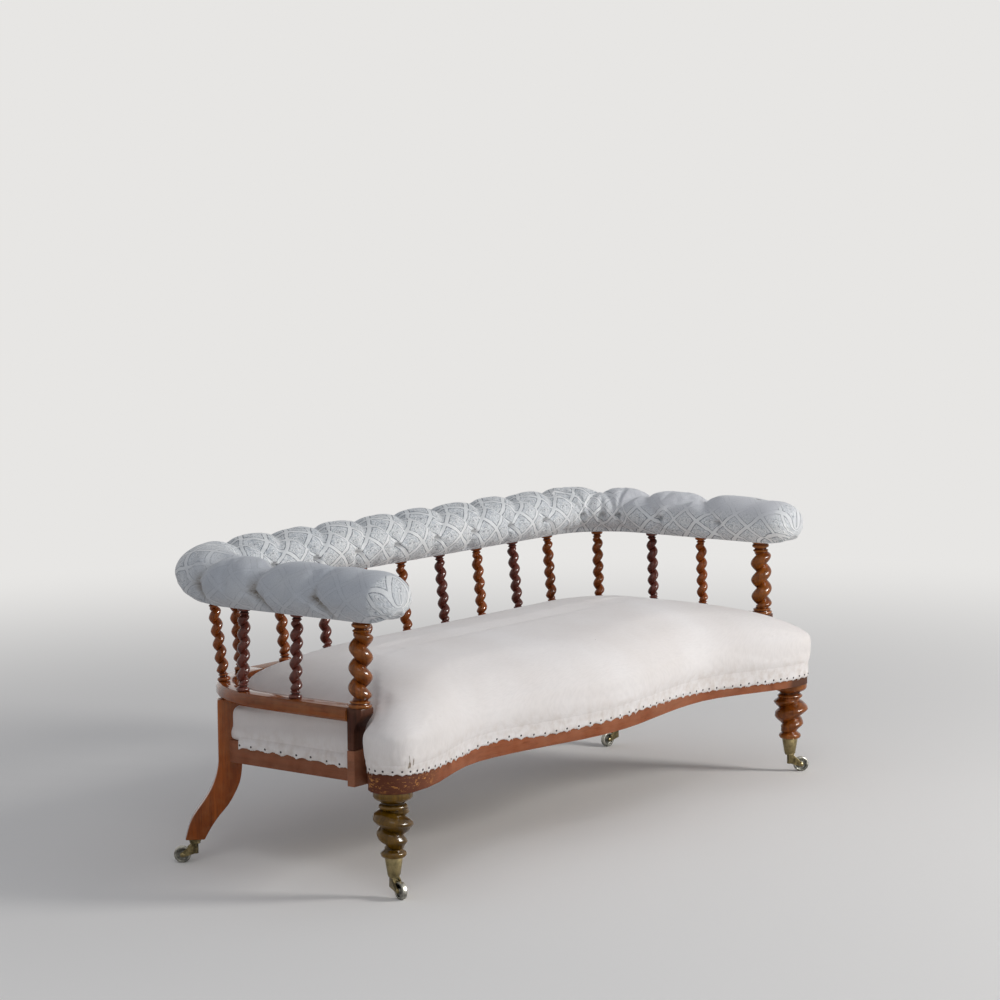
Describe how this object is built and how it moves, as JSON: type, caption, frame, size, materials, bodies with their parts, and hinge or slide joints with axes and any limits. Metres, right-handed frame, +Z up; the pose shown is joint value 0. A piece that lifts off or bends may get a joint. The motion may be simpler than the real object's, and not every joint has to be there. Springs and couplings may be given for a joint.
{
  "type": "salon sofa",
  "caption": "Low salon sofa with a serpentine-fronted stuffed seat, twist-turned legs and spindles, and a tufted padded roll round the ends and back, on brass castors.",
  "frame": {"origin": "on the floor under the middle of the sofa's plan box", "axes": "+X to the right end seen from the front, -Y to the front, +Z up"},
  "size_m": [1.766, 0.784, 0.717],
  "materials": {
    "polished_wood": "french polished walnut, glossy, red brown",
    "golden_wood": "french polished walnut, glossy, golden brown",
    "frame_wood": "bare rubbed frame wood, dusty red brown",
    "calico": "plain cream calico undercover",
    "roll_damask": "faded blue grey and white trellis damask",
    "hessian": "coarse jute hessian",
    "webbing": "woven jute webbing",
    "spring_steel": "coppered spring wire, dulled",
    "castor_brass": "aged, darkened brass",
    "castor_wheel": "dull grey worn brass"
  },
  "bodies": {
    "sofa": {"back_pad": "roll_damask", "back_seat_rail": "frame_wood", "back_spindle_1": "polished_wood", "back_spindle_2": "polished_wood", "back_spindle_3": "polished_wood", "back_spindle_4": "polished_wood", "back_spindle_5": "polished_wood", "back_spindle_6": "polished_wood", "back_spindle_7": "polished_wood", "back_spindle_8": "polished_wood", "back_spindle_9": "polished_wood", "back_spindle_rail": "polished_wood", "back_top_rail": "frame_wood", "front_left_ferrule": "castor_brass", "front_right_ferrule": "castor_brass", "front_seat_rail": "frame_wood", "left_arm_pad": "roll_damask", "left_corner_pad": "roll_damask", "left_corner_spindle": "polished_wood", "left_front_leg": "golden_wood", "left_front_post": "polished_wood", "left_front_spindle": "polished_wood", "left_rear_leg": "polished_wood", "left_rear_spindle": "polished_wood", "left_seat_rail": "frame_wood", "left_spindle_rail": "polished_wood", "left_top_rail": "frame_wood", "rear_left_socket": "castor_brass", "rear_right_socket": "castor_brass", "right_arm_pad": "roll_damask", "right_corner_pad": "roll_damask", "right_corner_spindle": "polished_wood", "right_front_leg": "golden_wood", "right_front_post": "polished_wood", "right_front_spindle": "polished_wood", "right_rear_leg": "polished_wood", "right_rear_spindle": "polished_wood", "right_seat_rail": "frame_wood", "right_spindle_rail": "polished_wood", "right_top_rail": "frame_wood", "seat_hessian": "hessian", "seat_springs": "spring_steel", "seat_stuffing": "calico", "seat_webbing": "webbing"},
    "front_left_swivel": {"front_left_castor_horn": "castor_brass", "front_left_castor_axle": "castor_brass"},
    "front_left_roller": {"front_left_castor_wheel": "castor_wheel"},
    "rear_left_swivel": {"rear_left_castor_horn": "castor_brass", "rear_left_castor_axle": "castor_brass"},
    "rear_left_roller": {"rear_left_castor_wheel": "castor_wheel"},
    "front_right_swivel": {"front_right_castor_horn": "castor_brass", "front_right_castor_axle": "castor_brass"},
    "front_right_roller": {"front_right_castor_wheel": "castor_wheel"},
    "rear_right_swivel": {"rear_right_castor_horn": "castor_brass", "rear_right_castor_axle": "castor_brass"},
    "rear_right_roller": {"rear_right_castor_wheel": "castor_wheel"}
  },
  "joints": [
    {"name": "front_left_swivel", "type": "hinge", "parent": "sofa", "child": "front_left_swivel", "pos_m": [-0.809, -0.331, 0.0477], "axis": [0, 0, 1], "continuous": true},
    {"name": "front_left_roll", "type": "hinge", "parent": "front_left_swivel", "child": "front_left_roller", "pos_m": [-0.81892, -0.35825, 0.0195], "axis": [0.9397, -0.342, 0], "continuous": true},
    {"name": "rear_left_swivel", "type": "hinge", "parent": "sofa", "child": "rear_left_swivel", "pos_m": [-0.83004, 0.24304, 0.0477], "axis": [0, 0, 1], "continuous": true},
    {"name": "rear_left_roll", "type": "hinge", "parent": "rear_left_swivel", "child": "rear_left_roller", "pos_m": [-0.84945, 0.2646, 0.0195], "axis": [-0.7431, -0.6691, 0], "continuous": true},
    {"name": "front_right_swivel", "type": "hinge", "parent": "sofa", "child": "front_right_swivel", "pos_m": [0.809, -0.331, 0.0477], "axis": [0, 0, 1], "continuous": true},
    {"name": "front_right_roll", "type": "hinge", "parent": "front_right_swivel", "child": "front_right_roller", "pos_m": [0.8284, -0.35255, 0.0195], "axis": [0.7431, 0.6691, 0], "continuous": true},
    {"name": "rear_right_swivel", "type": "hinge", "parent": "sofa", "child": "rear_right_swivel", "pos_m": [0.83004, 0.24304, 0.0477], "axis": [0, 0, 1], "continuous": true},
    {"name": "rear_right_roll", "type": "hinge", "parent": "rear_right_swivel", "child": "rear_right_roller", "pos_m": [0.80168, 0.24907, 0.0195], "axis": [-0.2079, -0.9781, 0], "continuous": true}
  ]
}
